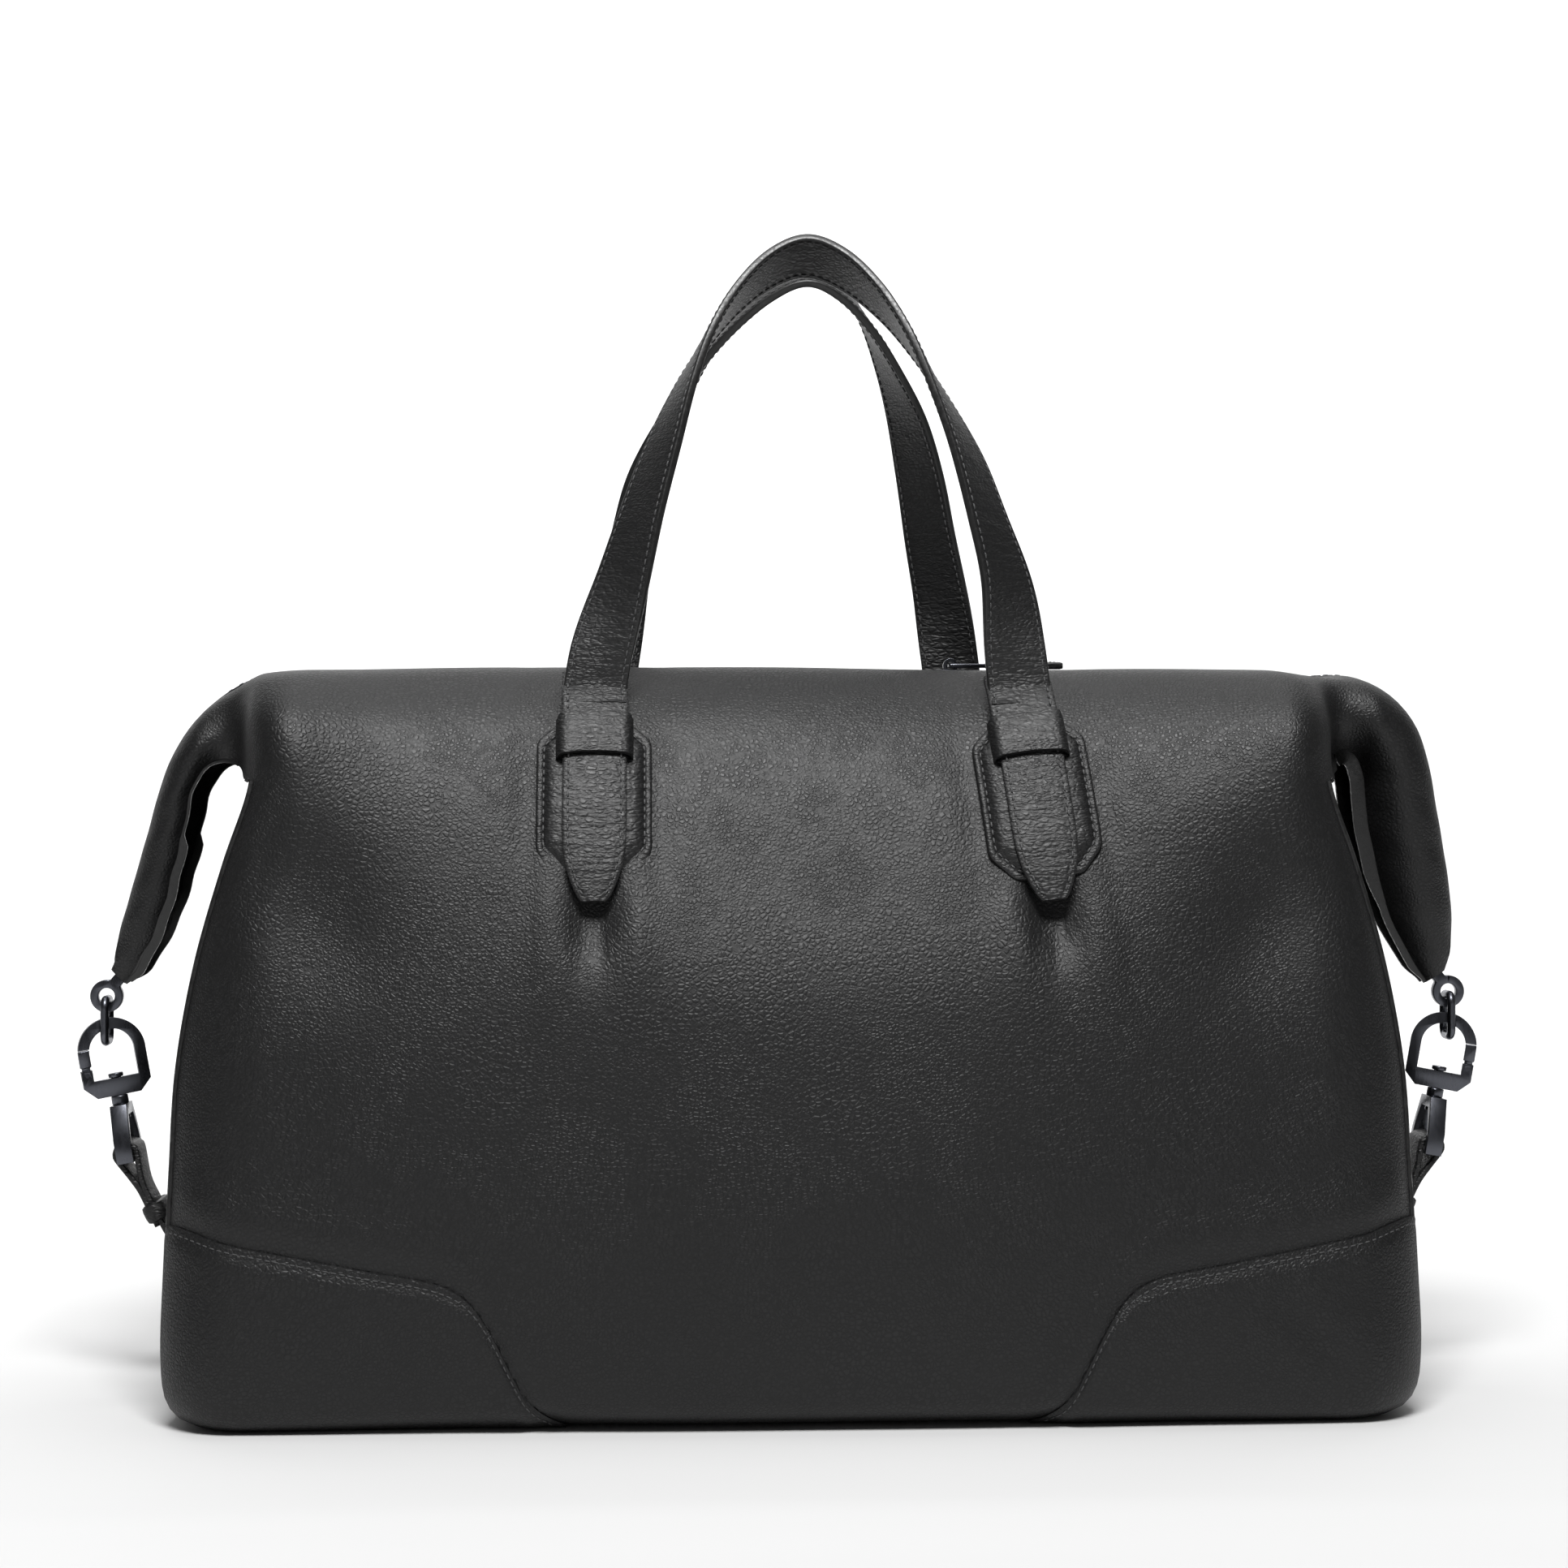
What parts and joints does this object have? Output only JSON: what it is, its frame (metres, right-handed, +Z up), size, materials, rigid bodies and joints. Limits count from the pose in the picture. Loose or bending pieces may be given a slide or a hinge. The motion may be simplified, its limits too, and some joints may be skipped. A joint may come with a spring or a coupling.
{
  "type": "travel holdall",
  "caption": "Soft black grained-leather travel holdall with fold-down clipped wings, zipped top, twisted strap handles and reinforced base corners.",
  "frame": {"origin": "centre of the base, on the surface that the bag stands on", "axes": "+X to the bag's right seen from the front, +Y to the back, +Z up; the front faces -Y"},
  "size_m": [0.6082, 0.2474, 0.4906],
  "materials": {
    "grain_leather": "satin pebble grain",
    "strap_leather": "satin pebble grain, edge painted",
    "lining_cloth": "matt",
    "zip_tape": "matt",
    "dark_metal": "dark gunmetal",
    "base_board": "matt"
  },
  "bodies": {
    "bag_body": {"panel_front": "grain_leather", "panel_back": "grain_leather", "gusset_left": "grain_leather", "gusset_right": "grain_leather", "base_panel": "grain_leather", "lining": "lining_cloth", "base_board": "base_board", "zip_tape_front": "zip_tape", "zip_tape_back": "zip_tape", "zip_chain": "dark_metal", "side_anchor_left": "strap_leather", "side_anchor_right": "strap_leather", "corner_overlay_front_left": "grain_leather", "handle_patch_front_left": "strap_leather", "handle_tab_front_left": "strap_leather", "handle_keeper_front_left": "strap_leather", "corner_overlay_front_right": "grain_leather", "handle_patch_front_right": "strap_leather", "handle_tab_front_right": "strap_leather", "handle_keeper_front_right": "strap_leather", "corner_overlay_back_left": "grain_leather", "handle_patch_back_left": "strap_leather", "handle_tab_back_left": "strap_leather", "handle_keeper_back_left": "strap_leather", "corner_overlay_back_right": "grain_leather", "handle_patch_back_right": "strap_leather", "handle_tab_back_right": "strap_leather", "handle_keeper_back_right": "strap_leather"},
    "handle_front": {"handle_strap_front": "strap_leather"},
    "handle_back": {"handle_strap_back": "strap_leather"},
    "zip_slider": {"zip_slider": "dark_metal"},
    "zip_pull": {"zip_pull_ring": "dark_metal", "zip_pull_tab": "strap_leather"},
    "wing_right": {"wing_face_front_right": "grain_leather", "wing_face_back_right": "grain_leather", "wing_gusset_right": "grain_leather", "wing_zip_right": "zip_tape", "eyelet_right": "dark_metal"},
    "link_right": {"link_right": "dark_metal"},
    "side_strap_right": {"side_strap_right": "strap_leather", "side_keeper_right": "strap_leather"},
    "stirrup_right": {"stirrup_right": "dark_metal", "swivel_post_right": "dark_metal"},
    "carabiner_right": {"carabiner_right": "dark_metal", "gate_pin_right": "dark_metal"},
    "gate_right": {"gate_right": "dark_metal"},
    "wing_left": {"wing_face_front_left": "grain_leather", "wing_face_back_left": "grain_leather", "wing_gusset_left": "grain_leather", "wing_zip_left": "zip_tape", "eyelet_left": "dark_metal"},
    "link_left": {"link_left": "dark_metal"},
    "side_strap_left": {"side_strap_left": "strap_leather", "side_keeper_left": "strap_leather"},
    "stirrup_left": {"stirrup_left": "dark_metal", "swivel_post_left": "dark_metal"},
    "carabiner_left": {"carabiner_left": "dark_metal", "gate_pin_left": "dark_metal"},
    "gate_left": {"gate_left": "dark_metal"}
  },
  "joints": [
    {"name": "handle_front_fold", "type": "hinge", "parent": "bag_body", "child": "handle_front", "pos_m": [0.006, -0.0583, 0.299], "axis": [1, 0, 0], "range_deg": [0, 115]},
    {"name": "handle_back_fold", "type": "hinge", "parent": "bag_body", "child": "handle_back", "pos_m": [0.001, 0.0583, 0.299], "axis": [-1, 0, 0], "range_deg": [0, 115]},
    {"name": "zip_slide", "type": "slide", "parent": "bag_body", "child": "zip_slider", "axis": [1, 0, 0], "range_m": [-0.264, 0.118]},
    {"name": "zip_pull_flip", "type": "hinge", "parent": "zip_slider", "child": "zip_pull", "pos_m": [0.072, 0, 0.3085], "axis": [0, -1, 0], "range_deg": [0, 150]},
    {"name": "wing_right_fold", "type": "hinge", "parent": "bag_body", "child": "wing_right", "pos_m": [0.221, 0, 0.3], "axis": [0, -1, 0], "range_deg": [0, 65]},
    {"name": "link_right_swing", "type": "hinge", "parent": "wing_right", "child": "link_right", "pos_m": [0.2915, 0, 0.1646], "axis": [0, 1, 0], "range_deg": [-6, 6]},
    {"name": "side_strap_right_bend", "type": "hinge", "parent": "bag_body", "child": "side_strap_right", "pos_m": [0.259, 0, 0.053], "axis": [0, -1, 0], "range_deg": [-1.2, 1.2]},
    {"name": "stirrup_right_swing", "type": "hinge", "parent": "side_strap_right", "child": "stirrup_right", "pos_m": [0.282, 0, 0.099], "axis": [0, -1, 0], "range_deg": [-1.2, 1.2]},
    {"name": "carabiner_right_swivel", "type": "hinge", "parent": "stirrup_right", "child": "carabiner_right", "pos_m": [0.282, 0, 0.099], "axis": [0.1736, 0, 0.9848], "range_deg": [-5, 35]},
    {"name": "gate_right_open", "type": "hinge", "parent": "carabiner_right", "child": "gate_right", "pos_m": [0.2995, -0.00308, 0.13206], "axis": [-0.2549, -0.9659, 0.0449], "range_deg": [0, 30], "stiffness_Nm_per_rad": 0.02, "springref_deg": -28.65},
    {"name": "wing_left_fold", "type": "hinge", "parent": "bag_body", "child": "wing_left", "pos_m": [-0.221, 0, 0.3], "axis": [0, 1, 0], "range_deg": [0, 65]},
    {"name": "link_left_swing", "type": "hinge", "parent": "wing_left", "child": "link_left", "pos_m": [-0.2915, 0, 0.1646], "axis": [0, -1, 0], "range_deg": [-6, 6]},
    {"name": "side_strap_left_bend", "type": "hinge", "parent": "bag_body", "child": "side_strap_left", "pos_m": [-0.259, 0, 0.053], "axis": [0, 1, 0], "range_deg": [-1.2, 1.2]},
    {"name": "stirrup_left_swing", "type": "hinge", "parent": "side_strap_left", "child": "stirrup_left", "pos_m": [-0.282, 0, 0.099], "axis": [0, 1, 0], "range_deg": [-1.2, 1.2]},
    {"name": "carabiner_left_swivel", "type": "hinge", "parent": "stirrup_left", "child": "carabiner_left", "pos_m": [-0.282, 0, 0.099], "axis": [0.1736, 0, -0.9848], "range_deg": [-5, 35]},
    {"name": "gate_left_open", "type": "hinge", "parent": "carabiner_left", "child": "gate_left", "pos_m": [-0.2995, -0.00308, 0.13206], "axis": [-0.2549, 0.9659, -0.0449], "range_deg": [0, 30], "stiffness_Nm_per_rad": 0.02, "springref_deg": -28.65}
  ]
}
